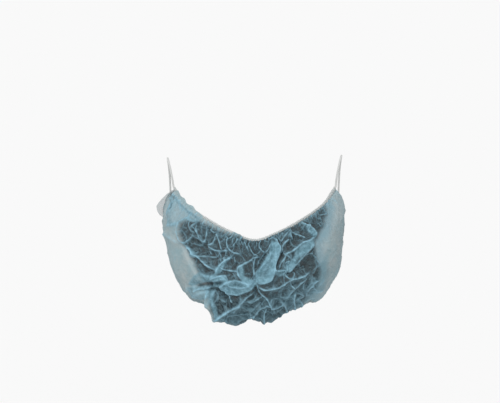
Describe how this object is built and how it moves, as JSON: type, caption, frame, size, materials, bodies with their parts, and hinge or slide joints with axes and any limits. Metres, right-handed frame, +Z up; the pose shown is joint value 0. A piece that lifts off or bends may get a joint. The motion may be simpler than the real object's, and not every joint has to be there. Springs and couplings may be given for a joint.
{
  "type": "disposable beard net",
  "caption": "Light blue gathered nonwoven pouch for the chin and jaw, with a sewn white elastic along both edges and an elastic loop for each ear.",
  "frame": {"origin": "midway between the two places where the ear loops hang on the tops of the ears", "axes": "+X to the viewer's right, which is the wearer's left, -Y out of the wearer's face, +Z up"},
  "size_m": [0.1805, 0.149, 0.144],
  "materials": {
    "nonwoven": "thin see-through spunbond nonwoven, matt",
    "elastic": "white sewn elastic, matt",
    "cord": "white braided elastic cord, matt"
  },
  "bodies": {
    "root": {"net_pouch": "nonwoven", "upper_rim_elastic": "elastic", "lower_rim_elastic": "elastic", "ear_loop_left": "cord", "ear_loop_right": "cord"}
  },
  "joints": []
}
